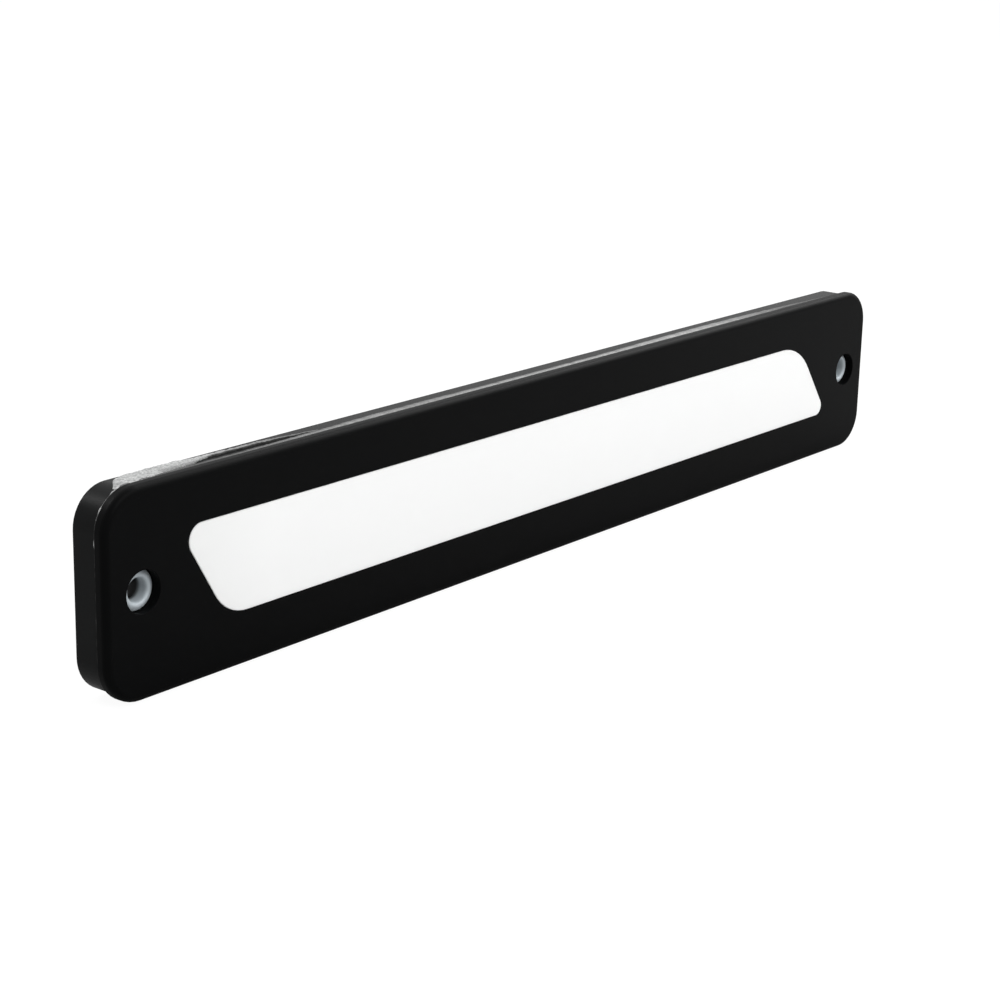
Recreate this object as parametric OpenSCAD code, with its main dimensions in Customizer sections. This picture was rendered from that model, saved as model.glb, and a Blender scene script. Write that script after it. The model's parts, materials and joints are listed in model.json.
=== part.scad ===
// Daytime running light: a slim sealed lamp with a slanted opal window.
// It is screwed to a panel through a metal bushing at each end.
// The back face lies in the XZ plane, the lamp faces -Y and +Z is up.
// The origin is on the back face, at the middle of the cover.

/* [Cover] */
// Length of the front cover
cover_l = 260; // [220:1:320]
// Height of the front cover
cover_h = 40.2; // [34:0.1:60]
// Depth of the front cover, from its face to the seam
cover_d = 2.6; // [2.4:0.1:3.6]
// Radius of the cover's corners, seen from the front
cover_r = 8.25; // [8:0.25:14]
// Radius round the cover's front edge
cover_edge_r = 1.4; // [0.6:0.1:2.2]
// Thickness of the cover's front wall
cover_wall = 1.6; // [1.2:0.1:2]
// Thickness of the tongue that enters the housing
tongue_t = 1; // [0.8:0.1:1.4]
// Depth of the tongue that enters the housing
tongue_d = 1.2; // [0.6:0.1:1.6]
// Gap between the tongue and the housing's wall
tongue_gap = 0.15; // [0.1:0.05:0.3]

/* [Window] */
// Face left beside the window at its left end, on its centreline
window_left = 23.5; // [22:0.5:40]
// Face left beside the window at its right end, on its centreline
window_right = 24.5; // [22:0.5:40]
// Face left above and below the window, on average
window_band = 10.3; // [10:0.1:14]
// Shift of the left end's lower corner against its upper one
slant_left = 11.8; // [4:0.1:16]
// Shift of the right end's lower corner against its upper one
slant_right = 14.3; // [4:0.1:16]
// Rise of the window and the screw holes above the cover's middle
window_rise = 0.45; // [0:0.05:0.6]
// Radius of the window's blunt corner, low on the left
blunt_left_r = 9.5; // [4:0.5:16]
// Radius of the window's blunt corner, high on the right
blunt_right_r = 15; // [4:0.5:16]
// Radius of the window's sharp corner, high on the left
sharp_left_r = 3.3; // [1.5:0.1:4]
// Radius of the window's sharp corner, low on the right
sharp_right_r = 2.3; // [1.5:0.1:4]
// Gap round the lens in the window
lens_gap = 0.06; // [0.04:0.02:0.12]
// Width of the lens flange round the window
flange_w = 2.2; // [1.8:0.1:2.4]
// Thickness of the lens flange
flange_t = 1; // [0.8:0.1:1.4]
// Thickness of the gasket between flange and cover
gasket_t = 0.3; // [0.2:0.1:0.6]
// Set-back of the gasket from the window's edge
gasket_inset = 0.3; // [0.2:0.1:0.6]
// Height of the lip that frames the flange inside the cover
lip_d = 1; // [0.6:0.1:1.2]
// Thickness of the lip that frames the flange
lip_t = 0.9; // [0.6:0.1:1.2]

/* [Housing] */
// Step of the rear housing inside the cover's outline
housing_inset = 0.65; // [0.5:0.05:1]
// Thickness of the housing's side walls
housing_wall = 1.6; // [1.2:0.1:1.8]
// Thickness of the housing's floor
floor_t = 1.6; // [1.4:0.1:2.4]
// Radius round the housing's back edge
housing_edge_r = 0.4; // [0.3:0.1:1]
// Depth of the relief in the back face
relief_d = 0.6; // [0.3:0.1:0.8]
// Height of the relief in the back face
relief_h = 24; // [20:1:25]
// Face left between the relief's ends and the cable outlet
relief_end = 3; // [2:0.5:8]
// Number of cooling ribs across the relief
rib_n = 5; // [3:2:7]
// Width of each cooling rib
rib_w = 1.6; // [1:0.1:2]
// Set-back of the sealant in the step behind the cover
bead_inset = 0.4; // [0.3:0.05:0.45]
// Set-back of the fuller bead along the top
crest_inset = 0.06; // [0.02:0.02:0.2]
// Width of the sealant bead behind the cover
bead_w = 1.8; // [1:0.1:2.2]
// Length of the squeezed-out sealant on the top, at the near end
smear_l = 35; // [20:1:60]
// Thickness of the squeezed-out sealant
smear_t = 0.2; // [0.1:0.05:0.4]

/* [Screw bushings] */
// Distance of each screw hole from the cover's end
hole_inset = 9; // [8.5:0.25:9.75]
// Radius of the screw bore
bore_r = 2.15; // [1.8:0.05:2.4]
// Radius of the bushing's rolled mouth
mouth_r = 0.9; // [0.7:0.05:1]
// Depth of the rolled mouth below the cover's face
mouth_drop = 1; // [0.8:0.1:1.4]
// Gap round the mouth in the cover's access hole
access_gap = 0.1; // [0.05:0.05:0.3]
// Width of the bushing's flange under the cover, past the access hole
flange_grip = 0.75; // [0.5:0.05:0.9]
// Thickness of the bushing's flange
bushing_flange_t = 1.2; // [0.8:0.1:1.6]
// Width of the collar that centres the flange in the cover
collar_w = 0.9; // [0.6:0.1:1]

/* [Light board] */
// Thickness of the heat pad under the board
pad_t = 0.8; // [0.5:0.1:1.2]
// Thickness of the board
board_t = 1.2; // [1:0.1:1.6]
// Gap between the board and the housing's long walls
board_gap = 0.65; // [0.5:0.05:0.7]
// Length of the board past each end of the window
board_end = 3; // [2.4:0.1:3.4]
// Depth of the reflector tray
tray_d = 2.5; // [2.2:0.1:4]
// Width of the tray's rim that shows behind the window's edge
tray_rim = 0.4; // [0.2:0.1:1]
// Height of the tray's cross ribs
tray_rib_d = 1.3; // [1:0.1:1.8]
// Thickness of the tray's cross ribs
tray_rib_t = 0.8; // [0.6:0.1:1.2]
// Number of light-emitting diodes
led_n = 18; // [12:3:18]
// Length of one diode package
led_l = 3.5; // [2.8:0.1:4]
// Width of one diode package
led_w = 2.8; // [2:0.1:3.5]
// Height of one diode package
led_h = 0.8; // [0.6:0.1:1]
// Distance from the last diode to the window's end
led_end = 9.6; // [8.4:0.2:14]

/* [Board parts] */
// Number of board screws along each long edge
screw_n = 3; // [2:1:4]
// Radius of a board screw's head
screw_head_r = 1.75; // [1.4:0.05:1.9]
// Height of a board screw's head
screw_head_h = 1.1; // [0.8:0.1:1.4]
// Radius of a board screw's shank
screw_r = 0.9; // [0.7:0.05:1]
// Depth of a board screw's shank below the board
screw_bite = 1.4; // [1:0.1:1.6]
// Distance of the last board screw from the window's end
screw_end = 20; // [16:1:28]
// Distance between the driver's parts along the board
driver_pitch = 7.6; // [7:0.2:9]
// Number of diodes in series, with one ballast resistor
string_n = 3; // [3:3:6]
// Gap between the tray and the parts beside it
part_gap = 0.3; // [0.2:0.05:0.4]

/* [Cable grommet] */
// Distance of the cable outlet from the screw hole, along the lamp
outlet_in = 11; // [10.5:0.25:12]
// Gap between the grommet's flange and the cover's tongue
outlet_room = 1.1; // [0.8:0.1:1.6]
// Radius of the cable passage in the grommet
cable_r = 1.6; // [1.2:0.1:2]
// Radius of the grommet's neck
neck_r = 3; // [2.6:0.1:3.2]
// Radius of the grommet's back flange
grommet_r = 4.1; // [3.8:0.1:4.2]
// Thickness of each grommet flange
grommet_flange_t = 1; // [0.8:0.1:1.2]
// Length of the grommet's neck between its flanges
neck_l = 3.4; // [2.6:0.1:3.6]
// Width of the housing's seat round the grommet
outlet_wall = 0.9; // [0.7:0.1:1]

/* [Hidden] */
$fn = 96;
fit_gap = 0.05;
arc_over = 0.001;
body_d = floor_t + pad_t + board_t + tray_d + flange_t + gasket_t + cover_wall;
seam_z = body_d - cover_d;
board_z = floor_t + pad_t;
board_top = board_z + board_t;
flange_z = board_top + tray_d;
cover_in_z = body_d - cover_wall;
housing_l = cover_l - 2 * housing_inset;
housing_h = cover_h - 2 * housing_inset;
housing_r = cover_r - housing_inset;
skirt_w = housing_inset + housing_wall + tongue_gap + tongue_t;
window_l = cover_l - window_left - window_right;
window_h = cover_h - 2 * window_band;
window_x = (window_left - window_right) / 2;
slope_left = slant_left / window_h;
slope_right = slant_right / window_h;
slope = (slope_left + slope_right) / 2;
hole_x = cover_l / 2 - hole_inset;
strip_z = window_h / 2 + flange_w + part_gap;
board_h = housing_h - 2 * (housing_wall + board_gap + window_rise);
board_l = window_l + 2 * board_end;
board_radii = [4, 2, 4, 2];
led_pitch = (window_l - 2 * led_end) / (led_n - 1);
screw_row = strip_z + screw_head_r;
screw_boss_w = 0.2;
screw_span = window_l / 2 - screw_end;
screw_step = 2 * screw_span / (screw_n - 1);
resistor_n = floor(led_n / string_n);
bushing_r = bore_r + mouth_r;
access_r = bushing_r + mouth_r + access_gap;
bushing_flange_r = access_r + flange_grip;
mouth_z = body_d - mouth_drop - mouth_r;
outlet_x = hole_x - outlet_in;
outlet_y = cover_h / 2 - skirt_w - grommet_r - outlet_room;
relief_l = 2 * (outlet_x - grommet_r - relief_end);
relief_r = 3;
smear_x = cover_r - cover_l / 2;
sot_size = [4.5, 3.2, 1.5];
diode_size = [4.4, 2.7, 2];
capacitor_size = [3.2, 2.5, 1.8];
resistor_size = [3.2, 1.6, 0.6];
tab_size = [2.4, 3, 0.8];
LED_NAMES = [for (i = [1:led_n]) str("led_", i < 10 ? "0" : "", i)];
RESISTOR_NAMES = [for (i = [1:resistor_n]) str("ballast_resistor_", i)];

// Outline of a convex polygon with each corner rounded to its own radius. Each arc reaches
// a little past its ends, inside the sides, so that no sliver is left where the two meet.
function unit(v) = v / norm(v);
function before(p, i) = unit(p[(i + len(p) - 1) % len(p)] - p[i]);
function after(p, i) = unit(p[(i + 1) % len(p)] - p[i]);
function half_angle(p, i) = acos(before(p, i) * after(p, i)) / 2;
function inward(p, i) = unit(before(p, i) + after(p, i));
function arm(p, r, i) = r[i] / tan(half_angle(p, i));
function centre(p, r, i) = p[i] + inward(p, i) * r[i] / sin(half_angle(p, i));
function beyond(p, r, i, side) = 1.1 * (p[i] + 1.2 * arm(p, r, i) * side - centre(p, r, i));
module rounded(p, r) {
    polygon([for (i = [0:len(p) - 1], side = [before(p, i), after(p, i)]) p[i] + side * arm(p, r, i)]);
    for (i = [0:len(p) - 1]) translate(centre(p, r, i)) intersection() {
        circle(r[i] + arc_over);
        polygon([[0, 0], beyond(p, r, i, before(p, i)), beyond(p, r, i, [0, 0]), beyond(p, r, i, after(p, i))]);
    }
}

// Rounded rectangle about the origin
module round_rect(l, h, r) {
    rounded([[l, h] / 2, [-l, h] / 2, [-l, -h] / 2, [l, -h] / 2], [r, r, r, r]);
}

// Rounded rectangle set in from the cover's outline
module cover_outline(inset) {
    round_rect(cover_l - 2 * inset, cover_h - 2 * inset, cover_r - inset);
}

// Outline with the window's slanted ends, larger by grow, on the window's own centre.
// The radii run from the upper right corner to the left.
module slanted(l, h, radii, grow = 0) {
    left = -l / 2 - grow * norm([1, slope_left]);
    right = l / 2 + grow * norm([1, slope_right]);
    y = h / 2 + grow;
    translate([window_x, window_rise])
        rounded([[right - y * slope_right, y], [left - y * slope_left, y],
                [left + y * slope_left, -y], [right + y * slope_right, -y]],
            [for (r = radii) r + grow]);
}
module window_outline(grow = 0) {
    slanted(window_l, window_h, [blunt_right_r, sharp_left_r, blunt_left_r, sharp_right_r], grow);
}

// Turns a piece from face coordinates, with its depth along +Z, to stand upright
module upright() {
    rotate([90, 0, 0]) children();
}

// A flat layer between two heights above the back face
module layer(low, high) {
    translate([0, 0, low]) linear_extrude(high - low) children();
}

// Carries a section round a rounded rectangle; the section's x runs out from the corner centres
module around(l, h, r) {
    for (side = [0, 1]) mirror([side, 0, 0]) {
        translate([l / 2 - r, h / 2 - r, 0]) rotate([90, 0, 0]) linear_extrude(h - 2 * r) children();
        for (end = [0, 1]) mirror([0, end, 0])
            translate([l / 2 - r, h / 2 - r, 0]) rotate_extrude(angle = 90) children();
    }
    for (end = [0, 1]) mirror([0, end, 0])
        translate([r - l / 2, h / 2 - r, 0]) rotate([90, 0, 90]) linear_extrude(l - 2 * r) children();
}

// The outer quarter of a disc
module quarter(r) {
    intersection() {
        circle(r);
        square(r);
    }
}

// A plate with rounded corners whose front edge is rounded too
module soft_plate(l, h, r, t, edge) {
    around(l, h, r) {
        square([r, t - edge]);
        square([r - edge, t]);
        translate([r - edge, t - edge]) quarter(edge);
    }
    translate([r - l / 2, r - h / 2, 0]) cube([l - 2 * r, h - 2 * r, t]);
}

// Places its children at both screw holes
module at_holes() {
    for (side = [-1, 1]) translate([side * hole_x, window_rise, 0]) children();
}

// Places its children at each board screw
module at_screws() {
    for (row = [-1, 1], i = [0:screw_n - 1])
        translate([window_x + i * screw_step - screw_span - row * screw_row * slope,
                window_rise + row * screw_row, 0])
            children();
}

module front_cover() {
    flange_room = bushing_flange_r + fit_gap;
    color([0.07, 0.07, 0.07]) upright() difference() {
        union() {
            difference() {
                translate([0, 0, seam_z]) soft_plate(cover_l, cover_h, cover_r, cover_d, cover_edge_r);
                layer(seam_z - 1, cover_in_z) cover_outline(skirt_w);
            }
            layer(seam_z - tongue_d, seam_z + fit_gap) difference() {
                cover_outline(skirt_w - tongue_t);
                cover_outline(skirt_w);
            }
            layer(cover_in_z - lip_d, cover_in_z + fit_gap) difference() {
                window_outline(flange_w + fit_gap + lip_t);
                window_outline(flange_w + fit_gap);
            }
            at_holes() layer(cover_in_z - lip_d, cover_in_z + fit_gap) circle(flange_room + collar_w);
        }
        at_holes() layer(seam_z - tongue_d - 1, cover_in_z) circle(flange_room);
        layer(cover_in_z - 1, body_d + 1) window_outline();
        at_holes() layer(cover_in_z - 1, body_d + 1) circle(access_r);
    }
}

module diffuser_lens() {
    color([0.97, 0.97, 0.95]) upright() {
        layer(flange_z, flange_z + flange_t) window_outline(flange_w);
        layer(flange_z, body_d) window_outline(-lens_gap);
    }
}

module lens_gasket() {
    color([0.25, 0.25, 0.25]) upright() layer(cover_in_z - gasket_t, cover_in_z) difference() {
        window_outline(flange_w);
        window_outline(gasket_inset);
    }
}

module rear_housing() {
    boss_r = bushing_flange_r;
    seat_r = grommet_r + fit_gap + outlet_wall;
    seat_z = grommet_flange_t + neck_l;
    color([0.16, 0.16, 0.16]) upright() difference() {
        union() {
            difference() {
                translate([0, 0, seam_z]) mirror([0, 0, 1])
                    soft_plate(housing_l, housing_h, housing_r, seam_z, housing_edge_r);
                layer(floor_t, seam_z + 1)
                    round_rect(housing_l - 2 * housing_wall, housing_h - 2 * housing_wall, housing_r - housing_wall);
            }
            at_holes() cylinder(h = cover_in_z - bushing_flange_t, r = boss_r);
            at_screws() translate([0, 0, floor_t / 2]) cylinder(h = board_z - floor_t / 2, r = screw_head_r + screw_boss_w);
            translate([outlet_x, outlet_y, 0]) cylinder(h = seat_z, r = seat_r);
        }
        at_holes() translate([0, 0, -1]) cylinder(h = body_d, r = bushing_r + fit_gap);
        at_screws() translate([0, 0, board_z - screw_bite - fit_gap]) cylinder(h = body_d, r = screw_r);
        translate([outlet_x, outlet_y, -1]) {
            cylinder(h = body_d, r = neck_r + fit_gap);
            cylinder(h = grommet_flange_t + 1, r = grommet_r + fit_gap);
        }
        layer(-1, relief_d) difference() {
            round_rect(relief_l, relief_h, relief_r);
            for (i = [0:rib_n - 1])
                translate([-relief_l / 2, (i - (rib_n - 1) / 2) * relief_h / rib_n - rib_w / 2])
                    square([relief_l, rib_w]);
        }
    }
}

// The sealant fills the step behind the cover, stands fuller along the top
// and has been squeezed out over the housing near one end
module sealant_bead() {
    steps = 10;
    bead_h = housing_inset - bead_inset;
    crest_h = housing_inset - crest_inset;
    reach = seam_z - housing_edge_r - 0.4;
    top_y = housing_h / 2;
    color([0.75, 0.76, 0.77]) upright() {
        around(housing_l, housing_h, housing_r)
            polygon([[housing_r, seam_z], [housing_r + bead_h, seam_z],
                [housing_r + bead_h, seam_z - bead_w * 0.6], [housing_r, seam_z - bead_w]]);
        translate([cover_r - cover_l / 2, top_y, seam_z]) rotate([90, 0, 90]) linear_extrude(cover_l - 2 * cover_r)
            polygon([[0, 0], [crest_h, 0], [crest_h * 0.95, -bead_w * 0.4], [crest_h * 0.7, -bead_w * 0.8],
                [crest_h * 0.4, -bead_w], [0, -bead_w]]);
        translate([smear_x, top_y + smear_t, 0]) rotate([90, 0, 0]) linear_extrude(smear_t)
            polygon(concat([[smear_l, seam_z], [0, seam_z]],
                [for (i = [0:steps]) let (u = i / steps)
                    [u * smear_l, seam_z - reach * (1 - u * u) + 0.25 * sin(900 * u)]]));
    }
}

// A metal tube with a rolled mouth on a flange, which takes the screw's clamping force
module bushing() {
    top = cover_in_z;
    color([0.78, 0.8, 0.82]) upright() translate([0, window_rise, 0]) rotate_extrude() {
        translate([bore_r, 0]) square([mouth_r, mouth_z]);
        translate([bushing_r, mouth_z]) intersection() {
            circle(mouth_r);
            translate([-mouth_r, 0]) square([2 * mouth_r, mouth_r]);
        }
        translate([bushing_r, top - bushing_flange_t]) square([bushing_flange_r - bushing_r, bushing_flange_t]);
    }
}
module left_bushing() {
    translate([-hole_x, 0, 0]) bushing();
}
module right_bushing() {
    translate([hole_x, 0, 0]) bushing();
}

module cable_grommet() {
    color([0.1, 0.1, 0.1]) upright() translate([outlet_x, outlet_y, 0]) difference() {
        union() {
            cylinder(h = grommet_flange_t, r = grommet_r);
            cylinder(h = 2 * grommet_flange_t + neck_l, r = neck_r);
            translate([0, 0, grommet_flange_t + neck_l]) cylinder(h = grommet_flange_t, r = grommet_r - 0.3);
        }
        translate([0, 0, -1]) cylinder(h = body_d, r = cable_r);
    }
}

// A white frame with low slanted ribs between the strings of diodes
module reflector_tray() {
    color([0.95, 0.95, 0.93]) upright() {
        layer(board_top, flange_z) difference() {
            window_outline(flange_w);
            window_outline(-tray_rim);
        }
        layer(board_top, board_top + tray_rib_d) intersection() {
            window_outline(flange_w / 2);
            for (i = [string_n:string_n:led_n - 1])
                translate([window_x + (i - led_n / 2) * led_pitch, window_rise])
                    polygon([for (corner = [[1, 1], [-1, 1], [-1, -1], [1, -1]])
                        [corner[0] * tray_rib_t / 2 - corner[1] * slope * window_h, corner[1] * window_h]]);
        }
    }
}

module led_board() {
    color([0.93, 0.93, 0.9]) upright() difference() {
        layer(board_z, board_top) slanted(board_l, board_h, board_radii);
        at_screws() translate([0, 0, board_z - 1]) cylinder(h = body_d, r = screw_r + 0.15);
    }
}

module thermal_pad() {
    color([0.55, 0.6, 0.68]) upright() layer(floor_t, board_z) window_outline(flange_w / 2);
}

module board_screws() {
    slot = screw_head_r / 4;
    color([0.7, 0.7, 0.72]) upright() at_screws() difference() {
        union() {
            translate([0, 0, board_z - screw_bite]) cylinder(h = screw_bite + board_t + fit_gap, r = screw_r);
            translate([0, 0, board_top]) cylinder(h = screw_head_h, r = screw_head_r);
        }
        for (turn = [0, 90]) rotate([0, 0, turn])
            translate([-screw_head_r * 0.6, -slot / 2, board_top + screw_head_h * 0.45])
                cube([screw_head_r * 1.2, slot, screw_head_h]);
    }
}

// One diode package with its shallow phosphor cup, counted from the left
module led(i) {
    color([1, 0.88, 0.45]) upright()
        translate([window_x + (i - (led_n - 1) / 2) * led_pitch, window_rise, board_top]) difference() {
            translate([-led_l / 2, -led_w / 2, 0]) cube([led_l, led_w, led_h]);
            translate([0, 0, led_h * 0.8]) cylinder(h = led_h, r = led_w * 0.38);
        }
}

// Places its children on the upper or lower strip of the board, beside the tray
module on_strip(x, row, w) {
    upright() translate([window_x + x - row * screw_row * slope, window_rise + row * (strip_z + w / 2), board_top])
        children();
}

// A block-shaped board part with two end caps a little wider than its body
module end_capped(size) {
    cap = size[0] / 5;
    translate([-size[0] / 2 + cap / 2, -size[1] * 0.46, 0]) cube([size[0] - cap, size[1] * 0.92, size[2] * 0.94]);
    for (side = [-1, 1])
        translate([side * (size[0] - cap) / 2 - cap / 2, -size[1] / 2, 0]) cube([cap, size[1], size[2]]);
}

// A moulded two-lead body raised on folded metal ends
module moulded_diode(size) {
    lead = size[0] / 6;
    translate([lead / 2 - size[0] / 2, -size[1] / 2, 0.15]) cube([size[0] - lead, size[1], size[2] - 0.15]);
    for (side = [-1, 1])
        translate([side * (size[0] - lead) / 2 - lead / 2, -size[1] / 4, 0]) cube([lead, size[1] / 2, size[2] / 2]);
}
function driver_x(i) = screw_span - i * driver_pitch;

module driver_chip() {
    w = sot_size[1];
    color([0.12, 0.12, 0.13]) on_strip(driver_x(4), 1, w) {
        translate([-sot_size[0] / 2, 0.3 - w / 2, 0.1]) cube([sot_size[0], w - 0.9, sot_size[2] - 0.1]);
        for (lead = [-1, 0, 1]) translate([lead * 1.5 - 0.25, -w / 2, 0]) cube([0.5, w, 0.35]);
    }
}
module reverse_diode() {
    color([0.12, 0.12, 0.13]) on_strip(driver_x(1), 1, diode_size[1]) moulded_diode(diode_size);
}
module surge_diode() {
    color([0.12, 0.12, 0.13]) on_strip(driver_x(2), 1, diode_size[1]) moulded_diode(diode_size);
}
module input_capacitor() {
    color([0.7, 0.6, 0.45]) on_strip(driver_x(3), 1, capacitor_size[1]) end_capped(capacitor_size);
}
module output_capacitor() {
    color([0.7, 0.6, 0.45]) on_strip(driver_x(5), 1, capacitor_size[1]) end_capped(capacitor_size);
}
module ballast_resistor(i) {
    color([0.12, 0.12, 0.13])
        on_strip((i * string_n + 0.5 - led_n / 2) * led_pitch, -1, resistor_size[1])
            end_capped(resistor_size);
}

// Two drilled tabs that the supply leads are soldered to
module solder_tabs() {
    color([0.85, 0.7, 0.35]) for (i = [1.1, 1.6]) on_strip(driver_x(-i), 1, tab_size[1]) difference() {
        translate([-tab_size[0] / 2, -tab_size[1] / 2, 0]) cube(tab_size);
        translate([0, 0, -1]) cylinder(h = 3, r = 0.5);
    }
}

front_cover();
diffuser_lens();
lens_gasket();
rear_housing();
sealant_bead();
left_bushing();
right_bushing();
cable_grommet();
reflector_tray();
led_board();
thermal_pad();
board_screws();
driver_chip();
reverse_diode();
surge_diode();
input_capacitor();
output_capacitor();
solder_tabs();
for (i = [0:led_n - 1]) led(i);
for (i = [0:resistor_n - 1]) ballast_resistor(i);
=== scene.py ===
"""Daytime running light: the looks of the part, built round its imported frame.

Lengths are in millimetres until they go into a mesh, a node or a modifier. The floor and
the lamps are placed in metres. The part's frame has the back face on Y = 0, the window
facing -Y and +Z up the lamp.
"""

import json
import math

import bmesh
import bpy
from mathutils import Matrix, Vector, noise


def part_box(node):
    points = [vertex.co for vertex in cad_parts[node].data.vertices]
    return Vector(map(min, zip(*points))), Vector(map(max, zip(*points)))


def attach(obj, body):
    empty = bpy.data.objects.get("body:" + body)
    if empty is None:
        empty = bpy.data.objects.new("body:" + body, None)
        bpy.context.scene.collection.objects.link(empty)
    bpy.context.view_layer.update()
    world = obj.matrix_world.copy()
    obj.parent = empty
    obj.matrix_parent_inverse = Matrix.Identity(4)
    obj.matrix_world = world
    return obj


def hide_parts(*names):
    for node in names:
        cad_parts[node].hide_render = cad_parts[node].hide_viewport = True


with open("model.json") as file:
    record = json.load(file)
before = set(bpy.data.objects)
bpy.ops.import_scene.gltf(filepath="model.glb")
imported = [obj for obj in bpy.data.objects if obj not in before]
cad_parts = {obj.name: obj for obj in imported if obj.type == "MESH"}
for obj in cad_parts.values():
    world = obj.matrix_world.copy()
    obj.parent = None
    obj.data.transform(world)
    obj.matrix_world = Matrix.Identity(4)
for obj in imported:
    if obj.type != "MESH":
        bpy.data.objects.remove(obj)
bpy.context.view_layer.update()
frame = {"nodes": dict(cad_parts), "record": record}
NODES = frame["nodes"]
MM = 0.001

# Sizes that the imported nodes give
COVER_LOW, COVER_HIGH = (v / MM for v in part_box("front_cover"))
HOUSING_LOW, HOUSING_HIGH = (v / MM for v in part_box("rear_housing"))
BUSHING_LOW, BUSHING_HIGH = (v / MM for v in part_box("left_bushing"))
HOUSING_L = HOUSING_HIGH.x * 2
HOUSING_H = HOUSING_HIGH.z * 2
HOLE_X = -(BUSHING_LOW.x + BUSHING_HIGH.x) / 2
HOLE_Z = (BUSHING_LOW.z + BUSHING_HIGH.z) / 2
# Height of the seam above the back face, and the step from the cover's outline in to the housing's
SEAM = -HOUSING_LOW.y
STEP = COVER_HIGH.z - HOUSING_HIGH.z
# Radius of the housing's corners, seen from the front
HOUSING_R = 7.6

# The camera of the photograph, from a fit of its straight edges: roll in degrees, lens for a 36 mm sensor
CAMERA_AT = (-384.562, -296.087, 131.186)
CAMERA_FORWARD = (0.754131, 0.594000, -0.280090)
CAMERA_ROLL = 1.365
CAMERA_LENS = 82.8
CAMERA_SENSOR = 36

# Lamps: place, the point they aim at, length and height in metres, and power in watts
SOFTBOXES = {
    "overhead": ((0.45, 0.35, 1.0), (0.45, 0.35, 0), (2.1, 1.1), 6.5),
    "side": ((1.0, -0.14, 0.79), (0, 0, 0), (1.05, 0.6), 9.5),
    "corner": ((-0.46, 0.71, 0.93), (-0.12, 0, 0), (0.4, 0.3), 6),
    "front": ((0.3, -1.6, 1.1), (0, 0, 0), (1.4, 1.0), 15),
}
WORLD_LIGHT = 0.55
WHITE = (1, 1, 1)
# The floor: half its width in metres, its gap under the lamp, its albedo, and its glow towards the camera
FLOOR_REACH = 6
FLOOR_GAP = 0.02
FLOOR_ALBEDO = 0.55
FLOOR_GLOW = 1.1
FLOOR_GLOW_SHARE = 0.86


# ---------------------------------------------------------------- nodes of a material or the world
NOISE_MIDDLE = (0.3, 0.7)


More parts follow.
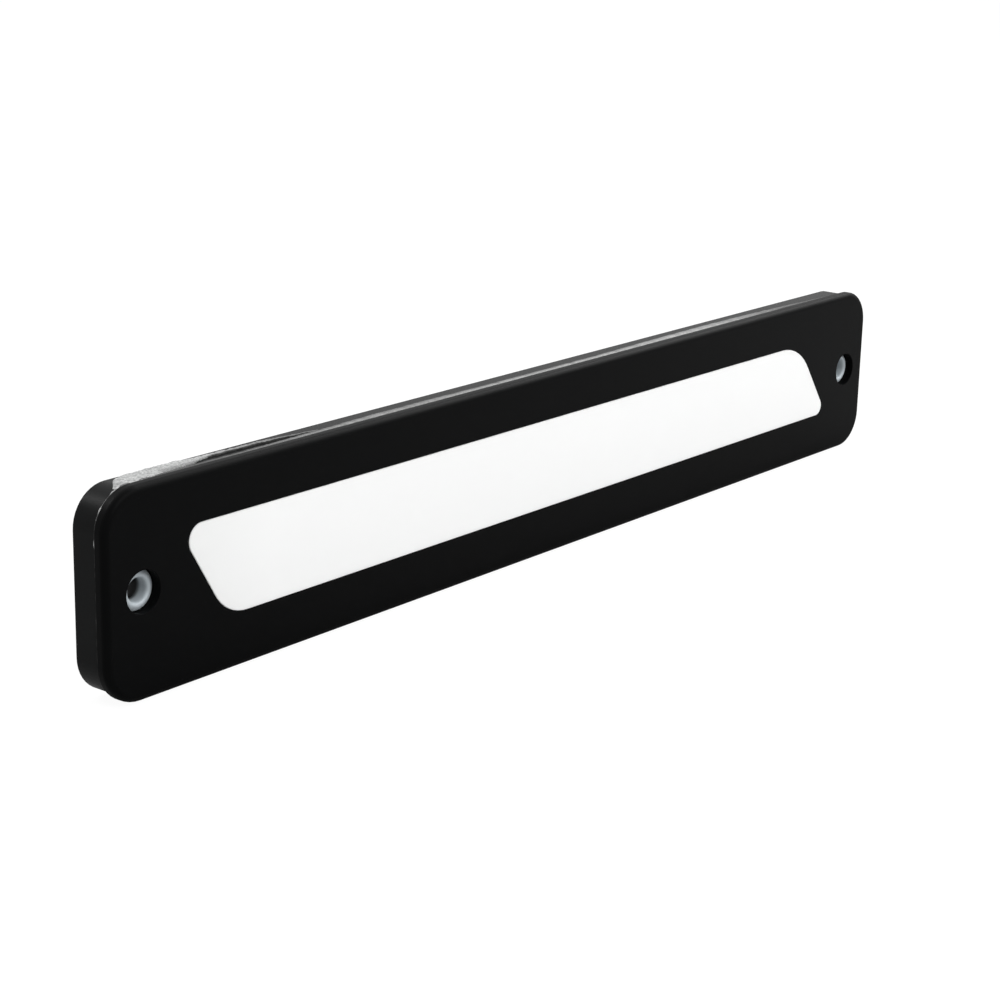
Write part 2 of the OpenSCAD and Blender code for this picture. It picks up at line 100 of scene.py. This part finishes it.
class Graph:
    """A small helper that builds one node tree."""

    def __init__(self, owner, output="ShaderNodeOutputMaterial"):
        self.owner = owner
        owner.use_nodes = True
        self.tree = owner.node_tree
        self.tree.nodes.clear()
        self.out = self.add(output)
        self.coords = None

    def add(self, kind, **values):
        node = self.tree.nodes.new(kind)
        for key, value in values.items():
            setattr(node, key, value)
        return node

    def link(self, source, target):
        self.tree.links.new(source, target)

    def put(self, socket, value):
        """Gives a socket a link, a colour or a number; None leaves it as it is."""
        if isinstance(value, bpy.types.NodeSocket):
            self.link(value, socket)
        elif isinstance(value, tuple) and socket.type == "RGBA":
            socket.default_value = (*value, 1)
        elif value is not None:
            socket.default_value = value

    def point(self):
        if self.coords is None:
            self.coords = self.add("ShaderNodeTexCoord").outputs["Object"]
        return self.coords

    def axis(self, name):
        node = self.add("ShaderNodeSeparateXYZ")
        self.link(self.point(), node.inputs["Vector"])
        return node.outputs[name]

    def attribute(self, name):
        return self.add("ShaderNodeAttribute", attribute_name=name).outputs["Fac"]

    def noise(self, size, detail=2.0, rough=0.5, stretch=None):
        """Noise whose features are about size millimetres across."""
        node = self.add("ShaderNodeTexNoise")
        self.put(node.inputs["Scale"], 1 / (size * MM))
        self.put(node.inputs["Detail"], detail)
        self.put(node.inputs["Roughness"], rough)
        source = self.point()
        if stretch:
            mapping = self.add("ShaderNodeMapping")
            self.put(mapping.inputs["Scale"], stretch)
            self.link(source, mapping.inputs["Vector"])
            source = mapping.outputs["Vector"]
        self.link(source, node.inputs["Vector"])
        return node.outputs["Fac"]

    def ramp(self, source, stops):
        """A colour ramp; each stop is (place, colour or grey)."""
        node = self.add("ShaderNodeValToRGB")
        band = node.color_ramp
        while len(band.elements) < len(stops):
            band.elements.new(0.5)
        for element, (place, colour) in zip(band.elements, stops):
            element.position = place
            element.color = (*colour, 1) if isinstance(colour, tuple) else (colour,) * 3 + (1,)
        self.link(source, node.inputs["Fac"])
        return node.outputs["Color"]

    def reach(self, source, low, high, to_low=0.0, to_high=1.0):
        """Carries the range from low to high over to another one, and clamps what lies past it."""
        node = self.add("ShaderNodeMapRange")
        for key, value in (("From Min", low), ("From Max", high), ("To Min", to_low), ("To Max", to_high)):
            self.put(node.inputs[key], value)
        self.link(source, node.inputs["Value"])
        return node.outputs["Result"]

    def spread(self, grain, low, high):
        """Spreads the middle of a noise's range, where most of it lies, from low to high."""
        return self.reach(grain, *NOISE_MIDDLE, low, high)

    def mix(self, amount, a, b, blend="MIX"):
        node = self.add("ShaderNodeMix", data_type="RGBA", blend_type=blend)
        for index, value in ((0, amount), (6, a), (7, b)):
            self.put(node.inputs[index], value)
        return node.outputs[2]

    def maths(self, operation, a, b=None):
        node = self.add("ShaderNodeMath", operation=operation)
        for socket, value in zip(node.inputs, (a, b)):
            self.put(socket, value)
        return node.outputs[0]

    def bump(self, height, depth, under=None, strength=1.0):
        """A bump of depth millimetres, on top of another one if given."""
        node = self.add("ShaderNodeBump")
        self.put(node.inputs["Distance"], depth * MM)
        self.put(node.inputs["Strength"], strength)
        self.link(height, node.inputs["Height"])
        self.put(node.inputs["Normal"], under)
        return node.outputs["Normal"]

    def seen_by(self, *kinds):
        """1 for the rays of these kinds, 0 for the others."""
        path = self.add("ShaderNodeLightPath")
        total = path.outputs[kinds[0]]
        for kind in kinds[1:]:
            total = self.maths("MAXIMUM", total, path.outputs[kind])
        return total

    def shader(self, kind, **values):
        """The output of a shader node, with its sockets set."""
        node = self.add(kind)
        for key, value in values.items():
            self.put(node.inputs[key], value)
        return node.outputs[0]

    def blend(self, amount, a, b):
        """The surface is shader a where amount is 0, and shader b where it is 1."""
        node = self.add("ShaderNodeMixShader")
        for socket, source in zip(node.inputs, (amount, a, b)):
            self.link(source, socket)
        self.link(node.outputs[0], self.out.inputs["Surface"])
        return self.owner

    def finish(self, colour, rough, normal, **values):
        """The surface is a principled shader; the keys of values are its other sockets."""
        sockets = {"Base Color": colour, "Roughness": rough, "Normal": normal, **values}
        self.link(self.shader("ShaderNodeBsdfPrincipled", **sockets), self.out.inputs["Surface"])
        return self.owner


def material(name):
    return Graph(bpy.data.materials.new(name))


# ---------------------------------------------------------------- materials
# Painted shade in the bushing's bore: tones from deep inside to its mouth, between these heights above the back
# face
BORE_HEIGHTS = (4.3, 7.5)
BORE_SHADE_TONES = [(0.0, 0.0), (0.12, 0.03), (0.28, 0.32), (0.42, 0.85), (0.6, 1.0), (0.8, 0.88), (0.97, 0.8)]
# Painted shade on the ring where it goes down beside the cover's hole: tones between these radii
RING_EDGE = (3.6, 4.1)
RING_EDGE_SHADE_TONES = [(0.78, 1.0), (0.92, 0.5), (1.0, 0.0)]
# Painted light and shade on the ring: its tone falls from 1 at its lower edge, this far under the middle, to
# this one at the middle and above
RING_SHADE_H = 3.8
RING_SHADE = 0.6
# Painted shade: the lens is a little darker at the near end, between these places along the lamp
LENS_END_SHADE = (-109, -88)
# Greys of the sealant's specks
SPECKS = [(0.3, (0.1, 0.105, 0.105)), (0.42, (0.27, 0.275, 0.275)), (0.6, (0.54, 0.545, 0.54))]


def moulded_black():
    g = material("moulded_black")
    grain = g.noise(0.22, 3)
    wave = g.noise(9, 2)
    colour = g.mix(wave, (0.0015, 0.0016, 0.0017), (0.0021, 0.0022, 0.0023))
    normal = g.bump(wave, 0.03, strength=0.5)
    normal = g.bump(grain, 0.004, normal)
    return g.finish(colour, g.spread(grain, 0.36, 0.46), normal, **{"Specular IOR Level": 0.03})


def coated_black():
    g = material("coated_black")
    grain = g.noise(0.3, 4)
    wave = g.noise(6, 3)
    colour = g.mix(wave, (0.0032, 0.0034, 0.0035), (0.005, 0.0053, 0.0054))
    normal = g.bump(wave, 0.02, strength=0.6)
    normal = g.bump(grain, 0.008, normal)
    return g.finish(colour, g.spread(grain, 0.3, 0.42), normal, **{"Specular IOR Level": 0.05})


def opal():
    g = material("opal")
    cloud = g.noise(14, 2)
    low, high = LENS_END_SHADE
    colour = g.mix(cloud, (0.925, 0.93, 0.925), (0.945, 0.95, 0.945))
    # Painted shade darkens the near end of the lens
    colour = g.mix(g.reach(g.axis("X"), low * MM, high * MM), (0.86, 0.865, 0.86), colour)
    normal = g.bump(g.noise(0.5, 3), 0.002)
    return g.finish(colour, 0.32, normal, **{"Specular IOR Level": 0.4, "Subsurface Weight": 0.35,
        "Subsurface Scale": MM, "Subsurface Radius": (1, 1, 1)})


def rolled_metal():
    g = material("rolled_metal")
    scratches = g.noise(0.5, 3, 0.6, stretch=(1, 5, 1))
    blotch = g.noise(1.6, 2)
    deep, mouth = BORE_HEIGHTS
    # Painted shade: the bore darkens with depth
    bore = g.ramp(g.reach(g.axis("Y"), -deep * MM, -mouth * MM), BORE_SHADE_TONES)
    along = g.maths("SUBTRACT", g.maths("ABSOLUTE", g.axis("X")), HOLE_X * MM)
    across = g.maths("SUBTRACT", g.axis("Z"), HOLE_Z * MM)
    squares = [g.maths("MULTIPLY", side, side) for side in (along, across)]
    away = g.maths("SQRT", g.maths("ADD", *squares))
    inner, outer = RING_EDGE
    # Painted shade on the ring's outer edge beside the cover's hole
    edge = g.ramp(g.reach(away, inner * MM, outer * MM), RING_EDGE_SHADE_TONES)
    # Painted light and shade: the ring is lighter at its lower edge and darker from the middle up
    shade = g.reach(across, -RING_SHADE_H * MM, 0.0, 1.0, RING_SHADE)
    colour = g.mix(blotch, (0.74, 0.82, 0.87), (0.82, 0.9, 0.95))
    for tone in (bore, edge, shade):
        colour = g.mix(1.0, colour, tone, "MULTIPLY")
    return g.finish(colour, g.spread(scratches, 0.42, 0.56), g.bump(scratches, 0.01),
        **{"Metallic": 0.16, "Specular IOR Level": 0.12})


def cured_sealant():
    g = material("cured_sealant")
    speck = g.noise(0.45, 5, 0.7)
    blotch = g.reach(g.noise(2.2, 3), 0.35, 0.65, 0, 0.35)
    pale = g.mix(blotch, g.ramp(speck, SPECKS), (0.21, 0.215, 0.215))
    # Paleness 0 paints the sealant near black as shade in the seam; 1 gives the pale sealant with its painted
    # highlight
    colour = g.mix(g.attribute("paleness_and_shade"), (0.012, 0.012, 0.012), pale)
    normal = g.bump(speck, 0.12, strength=0.8)
    return g.finish(colour, g.spread(speck, 0.25, 0.55), normal, **{"Specular IOR Level": 0.15})


def plain(name, low, high, rough, **values):
    """A quiet two-tone material with fine grain, for the small parts."""
    g = material(name)
    grain = g.noise(0.6, 3)
    return g.finish(g.mix(grain, low, high), g.spread(grain, rough - 0.05, rough + 0.05),
        g.bump(grain, 0.004), **values)


MATERIALS = {
    "cover_plastic": moulded_black(),
    "housing_metal": coated_black(),
    "opal": opal(),
    "bushing_metal": rolled_metal(),
    "sealant": cured_sealant(),
    "gasket": plain("foam", (0.03, 0.03, 0.03), (0.05, 0.05, 0.05), 0.85),
    "grommet_rubber": plain("rubber", (0.014, 0.014, 0.014), (0.022, 0.022, 0.022), 0.62),
    "white_plastic": plain("white_plastic", (0.85, 0.85, 0.83), (0.9, 0.9, 0.88), 0.5),
    "board": plain("board", (0.83, 0.83, 0.8), (0.87, 0.87, 0.84), 0.4),
    "heat_pad": plain("heat_pad", (0.3, 0.34, 0.42), (0.36, 0.4, 0.48), 0.75),
    "screw_steel": plain("screw_steel", (0.5, 0.5, 0.52), (0.62, 0.62, 0.64), 0.32, Metallic=1.0),
    "black_part": plain("black_part", (0.02, 0.02, 0.022), (0.03, 0.03, 0.032), 0.5),
    "ceramic_part": plain("ceramic_part", (0.42, 0.33, 0.2), (0.5, 0.4, 0.26), 0.45),
    "tab_brass": plain("tab_brass", (0.68, 0.5, 0.22), (0.78, 0.6, 0.3), 0.3, Metallic=1.0),
    "led_package": plain("led_package", (0.85, 0.7, 0.28), (0.95, 0.8, 0.36), 0.35),
}
SLOT_OF = {row["node"]: row["material_slot"] for row in frame["record"]["subparts"]}


# ---------------------------------------------------------------- pieces
def place(name, data, slot, *replaced):
    """Puts a finished mesh in the scene as a piece that rides on the body."""
    data.materials.clear()
    data.materials.append(MATERIALS[slot])
    obj = bpy.data.objects.new(name, data)
    bpy.context.scene.collection.objects.link(obj)
    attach(obj, "root")
    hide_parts(*replaced)
    return obj


def place_built(bm, name, slot, node):
    """Closes a mesh that was built face by face, and puts it in place of the node."""
    bmesh.ops.recalc_face_normals(bm, faces=bm.faces)
    for face in bm.faces:
        face.smooth = True
    data = bpy.data.meshes.new(name)
    bm.to_mesh(data)
    bm.free()
    return place(name, data, slot, node)


def break_edges(obj, width, segments, angle):
    """Bevels the edges that turn by more than angle degrees."""
    edges = obj.modifiers.new("broken_edges", "BEVEL")
    edges.width = width * MM
    edges.segments = segments
    edges.limit_method = "ANGLE"
    edges.angle_limit = math.radians(angle)
    edges.use_clamp_overlap = True


def soften(name, node, bevel):
    """The node's own shape as a new piece, with its hard edges broken."""
    weld, flat = 0.002, 0.4
    data = NODES[node].data.copy()
    for layer in [a for a in data.attributes if a.name == "custom_normal"]:
        data.attributes.remove(layer)
    bm = bmesh.new()
    bm.from_mesh(data)
    bmesh.ops.remove_doubles(bm, verts=bm.verts, dist=weld * MM)
    bmesh.ops.dissolve_limit(bm, angle_limit=math.radians(flat), verts=bm.verts, edges=bm.edges)
    for face in bm.faces:
        face.smooth = True
    bm.to_mesh(data)
    bm.free()
    obj = place(name, data, SLOT_OF[node], node)
    break_edges(obj, bevel, 3, 35)
    normals = obj.modifiers.new("flat_faces", "WEIGHTED_NORMAL")
    normals.keep_sharp = False
    normals.weight = 100


# The bushing's section from the bore over the rolled ring to the flange and back: radius, and depth
# below the cover's face
MOUTH = [
    (2.15, 9.0), (2.15, 3.4), (2.15, 2.6), (2.17, 2.25), (2.24, 1.98), (2.36, 1.76), (2.52, 1.61),
    (2.72, 1.54), (2.95, 1.56), (3.2, 1.64), (3.45, 1.78), (3.7, 1.93), (3.9, 2.1), (4.02, 2.3),
    (4.09, 2.5), (4.12, 2.6), (4.15, 1.6), (4.8, 1.6), (4.8, 2.8), (3.05, 2.8), (3.05, 9.0),
]


def turned(name, node, profile, steps=96):
    """A closed section of (radius, depth below the cover's face) turned about the node's axis."""
    low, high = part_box(node)
    middle = (low + high) / 2
    bm = bmesh.new()
    rings = []
    for i in range(steps):
        turn = 2 * math.pi * i / steps
        rings.append([bm.verts.new((middle.x + r * MM * math.cos(turn), COVER_LOW.y * MM + d * MM,
            middle.z + r * MM * math.sin(turn))) for r, d in profile])
    for a, b in zip(rings, rings[1:] + rings[:1]):
        for j in range(len(profile)):
            k = (j + 1) % len(profile)
            bm.faces.new((a[j], a[k], b[k], b[j]))
    break_edges(place_built(bm, name, SLOT_OF[node], node), 0.06, 2, 50)


# ---------------------------------------------------------------- sealant
# The bead along the top: place, paleness of its line at the cover and of its body behind that, width, height
# The line's paleness is partly the sealant's own grey and partly a painted highlight; low paleness is painted
# shade
BEAD = [
    (-124, 0.4, 0.1, 1.2, 0.3), (-117, 0.2, 0.1, 1.6, 0.4), (-113, 0.08, 0.05, 1.6, 0.35),
    (-101, 0.1, 0.05, 1.6, 0.35), (-98, 0.18, 0, 1.4, 0.44), (-86, 0.28, 0, 1.4, 0.5),
    (-78, 0.4, 0.05, 1.5, 0.56), (-68, 0.45, 0.1, 1.8, 0.58), (-58, 0.48, 0.18, 2.2, 0.6),
    (-40, 0.5, 0.18, 2.2, 0.61), (-22, 0.55, 0.1, 1.8, 0.62), (18, 0.6, 0.1, 1.8, 0.62),
    (38, 0.64, 0.3, 2.4, 0.62), (60, 0.65, 0.4, 2.7, 0.62), (80, 0.35, 0.3, 2.5, 0.56),
    (95, 0.05, 0.18, 2.0, 0.45), (118, 0, 0, 1.2, 0.2),
]
# Round the ends and the bottom it is thin and painted dark as shade in the seam: width, height
BEAD_SIDE = (0.6, 0.12)
# Its section, from the cover back: shares of the height and of the width, and how much of the line's paleness
BEAD_SECTION = [(1, 0, 1), (1, 0.35, 1), (0.99, 0.6, 0.5), (0.97, 0.85, 0), (0.8, 0.95, 0), (0.34, 1, 0)]
# It grows into the top's bead where the outward direction's rise passes the first value, over the second
# Only the top's bead is pale: partly the sealant's own grey, partly painted light from above
TOP_FROM, TOP_SPAN = 0.97, 0.03
# Below that, down to this rise, the near end's corner has a pale fillet of this paleness and height
CORNER_FROM = 0.35
CORNER_PALE, CORNER_HIGH = 0.7, 0.24
# How far its root goes into the housing and past its back edge, and how far it stays under the cover's outline
SUNK, ROOT, UNDER = 0.1, 0.05, 0.03
BEAD_SPACING = 0.3
# Crumbs of sealant in the near end's seam: place along the lamp and across it, and strength
CRUMBS = [(-124.9, 18.75, 1.0), (-128.2, 16.6, 1.0), (-129.4, 10.5, 0.6), (-127.0, 18.2, 0.4)]
CRUMB_R, CRUMB_HIGH = 0.9, 0.3

# The smear on the housing's top: place, and its back and front edges as heights above the back face
SMEAR = [
    (-123.9, 4.8, 5.3), (-123.2, 4.1, 6.3), (-122, 2.6, 6.38), (-121, 1.7, 6.38), (-119.5, 0.8, 6.38),
    (-116.5, 0.5, 6.3), (-114.5, 0.5, 5.8), (-113, 0.5, 5.0), (-110.5, 0.5, 4.8), (-108.5, 0.55, 4.5),
    (-105, 0.7, 4.4), (-103, 1.2, 3.8), (-101.5, 1.5, 3.2), (-98, 1.7, 2.8), (-93, 1.9, 2.9),
    (-87, 2.1, 3.0), (-82, 2.5, 3.2), (-76, 3.0, 3.5), (-70, 3.2, 3.5),
]
SMEAR_COLUMNS, SMEAR_ROWS = 260, 22
# Its least height above the back face, its least width and its least gap to the seam
SMEAR_BACK, SMEAR_WIDE, SMEAR_GAP = 0.5, 0.12, 0.02
# How thin it is at its rim, how thick within, what a lump adds, and how far it goes into the housing
SMEAR_RIM, SMEAR_THICK, SMEAR_LUMP, SMEAR_SUNK = 0.02, 0.26, 0.22, 0.05
# It fades along the lamp from this place on, by this much for each millimetre, down to this paleness
FADE_FROM, FADE, FADE_TO = -102, 0.032, 0.3
# Painted shade: from the first place to the second it is darker above a height, and past them at its front edge
SHADE_FROM, SHADE_TO = -112, -99
SHADE_ABOVE, SMEAR_SHADE = 3.4, 0.58


def outline(spacing):
    """Points round the housing's outline, each with its outward direction, from the middle of the top."""
    half_l, half_h = HOUSING_L / 2 - HOUSING_R, HOUSING_H / 2 - HOUSING_R
    middle, turn = (0, half_h), 90
    runs, at = [], middle
    for corner in ((half_l, half_h), (half_l, -half_h), (-half_l, -half_h), (-half_l, half_h)):
        runs += [(at, corner, turn, turn), (corner, corner, turn, turn - 90)]
        at, turn = corner, turn - 90
    runs.append((at, middle, turn, turn))
    points = []
    for start, end, first, last in runs:
        length = math.dist(start, end) + HOUSING_R * math.radians(first - last)
        count = round(length / spacing)
        for i in range(count):
            t = i / count
            turn = math.radians(first + (last - first) * t)
            way = (math.cos(turn), math.sin(turn))
            x, y = (a + (b - a) * t + w * HOUSING_R for a, b, w in zip(start, end, way))
            points.append((x, y, way))
    return points


def ripple(x, y, z, size, depth=3):
    """Smooth noise between -1 and 1 with features of about size millimetres."""
    return noise.fractal(Vector((x, y, z)) / size, 1.0, 2.0, depth)


def between(x, table):
    """The values at x in a table of rows (x, value, ...), in straight lines from row to row."""
    if x <= table[0][0]:
        return table[0][1:]
    for low, high in zip(table, table[1:]):
        if x <= high[0]:
            t = (x - low[0]) / (high[0] - low[0])
            return tuple(a + (b - a) * t for a, b in zip(low[1:], high[1:]))
    return table[-1][1:]


def bead_section(x, y, way):
    """The bead at a point of the outline: rows of height over the housing, height above the back, paleness."""
    top = max(0.0, (way[1] - TOP_FROM) / TOP_SPAN)
    wobble = ripple(x, y, 0, 2.4)
    fine = ripple(x, y, 5, 0.7)
    line, body, wide, high = between(x, BEAD)
    side_wide, side_high = BEAD_SIDE
    high = side_high + 0.03 * wobble + top * (high - side_high + 0.03 * wobble)
    wide = side_wide + 0.1 * wobble + top * (wide - side_wide + 0.12 * fine)
    # Painted light and shade: the bead is pale only on the top and dark at the ends and the bottom
    line *= top * (1 + 0.3 * wobble + 0.2 * fine)
    body *= top * (1 + 0.3 * wobble)
    if x < 0 and CORNER_FROM < way[1] < TOP_FROM:
        line = max(line, CORNER_PALE + 0.7 * fine)
        high = max(high, CORNER_HIGH + 0.12 * fine)
    for crumb_x, crumb_y, strength in CRUMBS:
        near = max(0.0, 1 - math.hypot(x - crumb_x, y - crumb_y) / CRUMB_R) * strength
        high += CRUMB_HIGH * near
        line, body = max(line, near * 2), max(body, near * 1.6)
    high = min(high + 0.02 * fine, STEP - UNDER)
    section = [(high * h, SEAM - wide * w, body + (line - body) * share) for h, w, share in BEAD_SECTION]
    return [(-SUNK, SEAM, 0), *section, (-SUNK, SEAM - wide - ROOT, body)]


def smear_edges(x):
    """The smear's front and back edges at a place, with their ragged outline."""
    back, front = between(x, SMEAR)
    back += 0.3 * ripple(x, 3, 0, 1.4)
    front += 0.25 * ripple(x, 9, 0, 1.2) * min(1.0, 2 * (SEAM - front))
    return min(max(front, back + SMEAR_WIDE), SEAM - SMEAR_GAP), max(back, SMEAR_BACK)


def smear_paleness(x, z, lump, v):
    """The smear's paleness at a place and a height, with painted shade in it; v runs from its front edge to its
    back edge.
    """
    tone_with_shade = (0.65 + 0.5 * lump) * min(1.0, max(FADE_TO, 1.0 - FADE * (x - FADE_FROM)))
    if x >= SHADE_TO:
        tone_with_shade *= min(1.0, 0.1 + 4 * v)
    elif x > SHADE_FROM and z > SHADE_ABOVE:
        tone_with_shade *= SMEAR_SHADE
    return tone_with_shade


def sealant():
    """The bead in the step behind the cover, fuller along the top, and its smear over the near end."""
    bm = bmesh.new()
    paleness_and_shade = bm.verts.layers.float.new("paleness_and_shade")

    def vertex(x, height, depth, tone_with_shade):
        v = bm.verts.new((x * MM, -depth * MM, height * MM))
        v[paleness_and_shade] = min(1.0, max(0.0, tone_with_shade))
        return v

    rings = []
    for x, y, way in outline(BEAD_SPACING):
        rings.append([vertex(x + way[0] * d, y + way[1] * d, z, f) for d, z, f in bead_section(x, y, way)])
    for a, b in zip(rings, rings[1:] + rings[:1]):
        for i in range(len(a)):
            j = (i + 1) % len(a)
            bm.faces.new((a[i], b[i], b[j], a[j]))

    # The smear is a thin sheet with ragged edges; past the corner's start it follows the corner down
    upper, lower = [], []
    first, last = SMEAR[0][0], SMEAR[-1][0]
    bend = HOUSING_R - HOUSING_L / 2
    for i in range(SMEAR_COLUMNS + 1):
        u = i / SMEAR_COLUMNS
        x = first + u * (last - first)
        front, back = smear_edges(x)
        down = HOUSING_R - math.sqrt(HOUSING_R ** 2 - min(0.0, x - bend) ** 2)
        surface = HOUSING_H / 2 - down
        up, low = [], []
        for j in range(SMEAR_ROWS + 1):
            v = j / SMEAR_ROWS
            z = front + (back - front) * v
            rise = max(0.0, min(1.0, 14 * u, 5 * (1 - u), 12 * v + 0.3, 14 * (1 - v)))
            lump = 0.5 + 0.5 * ripple(x, z, 0, 1.0, 4)
            height = surface + SMEAR_RIM + rise * (SMEAR_THICK + SMEAR_LUMP * lump)
            up.append(vertex(x, height, z, smear_paleness(x, z, lump, v)))
            low.append(vertex(x, surface - SMEAR_SUNK, z, 0.5))
        upper.append(up)
        lower.append(low)
    for i in range(SMEAR_COLUMNS):
        for j in range(SMEAR_ROWS):
            bm.faces.new((upper[i][j], upper[i + 1][j], upper[i + 1][j + 1], upper[i][j + 1]))
            bm.faces.new((lower[i][j + 1], lower[i + 1][j + 1], lower[i + 1][j], lower[i][j]))
    for i in range(SMEAR_COLUMNS):
        for j in (0, SMEAR_ROWS):
            bm.faces.new((upper[i][j], lower[i][j], lower[i + 1][j], upper[i + 1][j]))
    for j in range(SMEAR_ROWS):
        for i in (0, SMEAR_COLUMNS):
            bm.faces.new((upper[i][j], upper[i][j + 1], lower[i][j + 1], lower[i][j]))
    return place_built(bm, "sealant", "sealant", "sealant_bead")


for node, obj in NODES.items():
    obj.data.materials.clear()
    obj.data.materials.append(MATERIALS[SLOT_OF[node]])

soften("cover_shell", "front_cover", 0.14)
soften("lens_block", "diffuser_lens", 0.2)
soften("housing_shell", "rear_housing", 0.14)
turned("bushing_near", "left_bushing", MOUTH)
turned("bushing_far", "right_bushing", MOUTH)
soften("outlet_grommet", "cable_grommet", 0.2)
sealant()


# ---------------------------------------------------------------- camera, floor and light
def make_camera():
    data = bpy.data.cameras.new("camera")
    data.sensor_width = CAMERA_SENSOR
    data.lens = CAMERA_LENS
    data.clip_start, data.clip_end = 0.01, 30
    camera = bpy.data.objects.new("camera", data)
    forward = Vector(CAMERA_FORWARD).normalized()
    side = forward.cross(Vector((0, 0, 1))).normalized()
    up = side.cross(forward)
    roll = math.radians(CAMERA_ROLL)
    right = side * math.cos(roll) + up * math.sin(roll)
    up = up * math.cos(roll) - side * math.sin(roll)
    turn = Matrix((right, up, -forward)).transposed().to_4x4()
    camera.matrix_world = Matrix.Translation(Vector(CAMERA_AT) * MM) @ turn
    bpy.context.scene.collection.objects.link(camera)
    bpy.context.scene.camera = camera


def make_world():
    """An even light on the lamp, and a white surround for the camera and for reflections."""
    g = Graph(bpy.data.worlds.new("studio"), "ShaderNodeOutputWorld")
    light = g.shader("ShaderNodeBackground", Color=WHITE, Strength=WORLD_LIGHT)
    shown = g.shader("ShaderNodeBackground", Color=WHITE, Strength=1.0)
    seen = g.seen_by("Is Camera Ray", "Is Glossy Ray", "Is Transmission Ray")
    bpy.context.scene.world = g.blend(seen, light, shown)


def make_floor():
    """A pale floor that keeps the lamp's shadow and looks white to the camera."""
    bm = bmesh.new()
    bmesh.ops.create_grid(bm, x_segments=8, y_segments=8, size=FLOOR_REACH)
    data = bpy.data.meshes.new("floor")
    bm.to_mesh(data)
    bm.free()
    floor = bpy.data.objects.new("floor", data)
    floor.location = (0, 0, (COVER_LOW.z - FLOOR_GAP) * MM)
    bpy.context.scene.collection.objects.link(floor)
    g = material("pale_floor")
    matt = g.shader("ShaderNodeBsdfDiffuse", Color=(FLOOR_ALBEDO,) * 3)
    glow = g.shader("ShaderNodeEmission", Color=WHITE, Strength=FLOOR_GLOW)
    share = g.maths("MULTIPLY", g.seen_by("Is Camera Ray"), FLOOR_GLOW_SHARE)
    data.materials.append(g.blend(share, matt, glow))


def softbox(name, at, aim, size, power):
    data = bpy.data.lights.new(name, "AREA")
    data.shape = "RECTANGLE"
    data.size, data.size_y = size
    data.energy = power
    lamp = bpy.data.objects.new(name, data)
    lamp.location = Vector(at)
    lamp.rotation_mode = "QUATERNION"
    lamp.rotation_quaternion = (Vector(aim) - Vector(at)).to_track_quat("-Z", "Y")
    bpy.context.scene.collection.objects.link(lamp)


make_camera()
make_world()
make_floor()
for name, values in SOFTBOXES.items():
    softbox(name, *values)
bpy.context.scene.view_settings.view_transform = "Standard"
